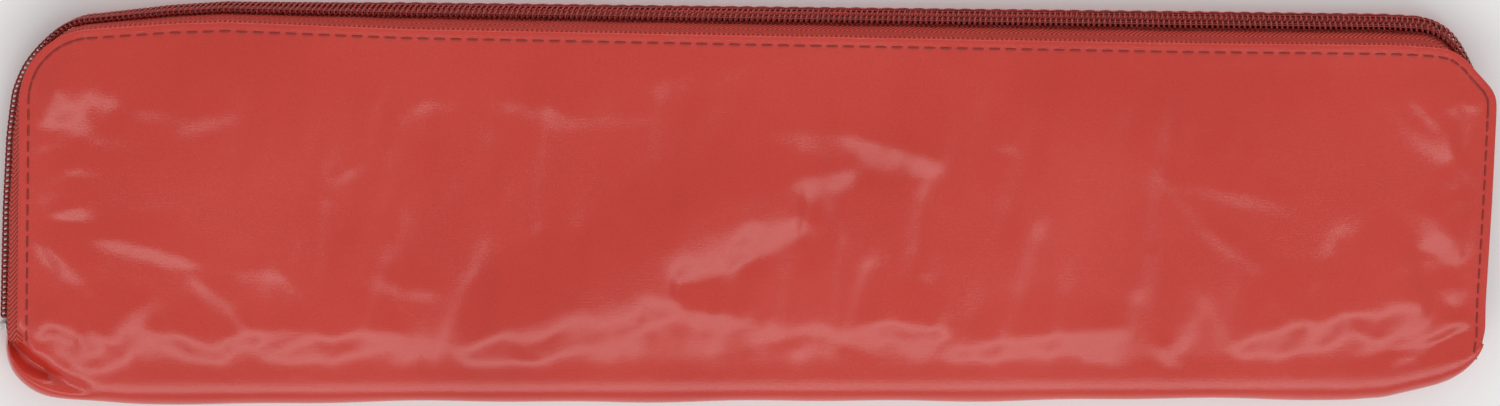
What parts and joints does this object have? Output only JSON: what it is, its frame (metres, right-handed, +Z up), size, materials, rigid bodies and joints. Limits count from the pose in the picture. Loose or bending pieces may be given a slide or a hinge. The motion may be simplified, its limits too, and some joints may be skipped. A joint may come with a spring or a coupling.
{
  "type": "fire blanket in a zip pouch",
  "caption": "Fire blanket folded flat in a long, slim pouch of glossy coated cloth. A coil zip runs round three sides, and the front opens about the bottom fold.",
  "frame": {"origin": "on the surface the pouch lies on, under the middle of its box", "axes": "+X along the pouch, +Y from the bottom fold towards the zipped edge, +Z up out of the front panel"},
  "size_m": [0.424, 0.1152, 0.0195],
  "materials": {
    "coated_cloth": "glossy coated plain-weave nylon, red",
    "zip_tape": "matt herringbone tape, red",
    "coil_nylon": "satin nylon coil, red",
    "thread": "twisted polyester thread, red",
    "slider_metal": "enamelled zinc casting, red",
    "stop_metal": "crimped aluminium",
    "glass_cloth": "woven glass-fibre cloth, off-white",
    "webbing": "flat polyester webbing, black"
  },
  "bodies": {
    "base": {"back_panel": "coated_cloth", "bottom_fold": "coated_cloth", "back_topstitch": "thread", "back_zip_tape": "zip_tape", "back_zip_coil": "coil_nylon", "bottom_stop": "stop_metal", "back_top_stop": "stop_metal", "left_end_tab": "coated_cloth", "right_end_tab": "coated_cloth", "fire_blanket": "glass_cloth", "left_pull_tape": "webbing", "right_pull_tape": "webbing"},
    "cover": {"front_panel": "coated_cloth", "front_topstitch": "thread", "front_zip_tape": "zip_tape", "front_zip_coil": "coil_nylon", "front_top_stop": "stop_metal"},
    "slider": {"slider_body": "slider_metal", "slider_bridge": "slider_metal"},
    "pull": {"pull_tab": "slider_metal"}
  },
  "joints": [
    {"name": "cover_hinge", "type": "hinge", "parent": "base", "child": "cover", "pos_m": [0, -0.0576, 0.0098], "axis": [1, 0, 0], "range_deg": [0, 180], "deforming": ["bottom_fold", "front_zip_tape", "front_zip_coil"]},
    {"name": "slider_run", "type": "slide", "parent": "base", "child": "slider", "axis": [0, 1, 0], "range_m": [0, 0.055], "deforming": ["back_zip_coil"]},
    {"name": "pull_tab_swing", "type": "hinge", "parent": "slider", "child": "pull", "pos_m": [0.20907, -0.03005, 0.0066], "axis": [0, 0, -1], "range_deg": [0, 180]}
  ]
}
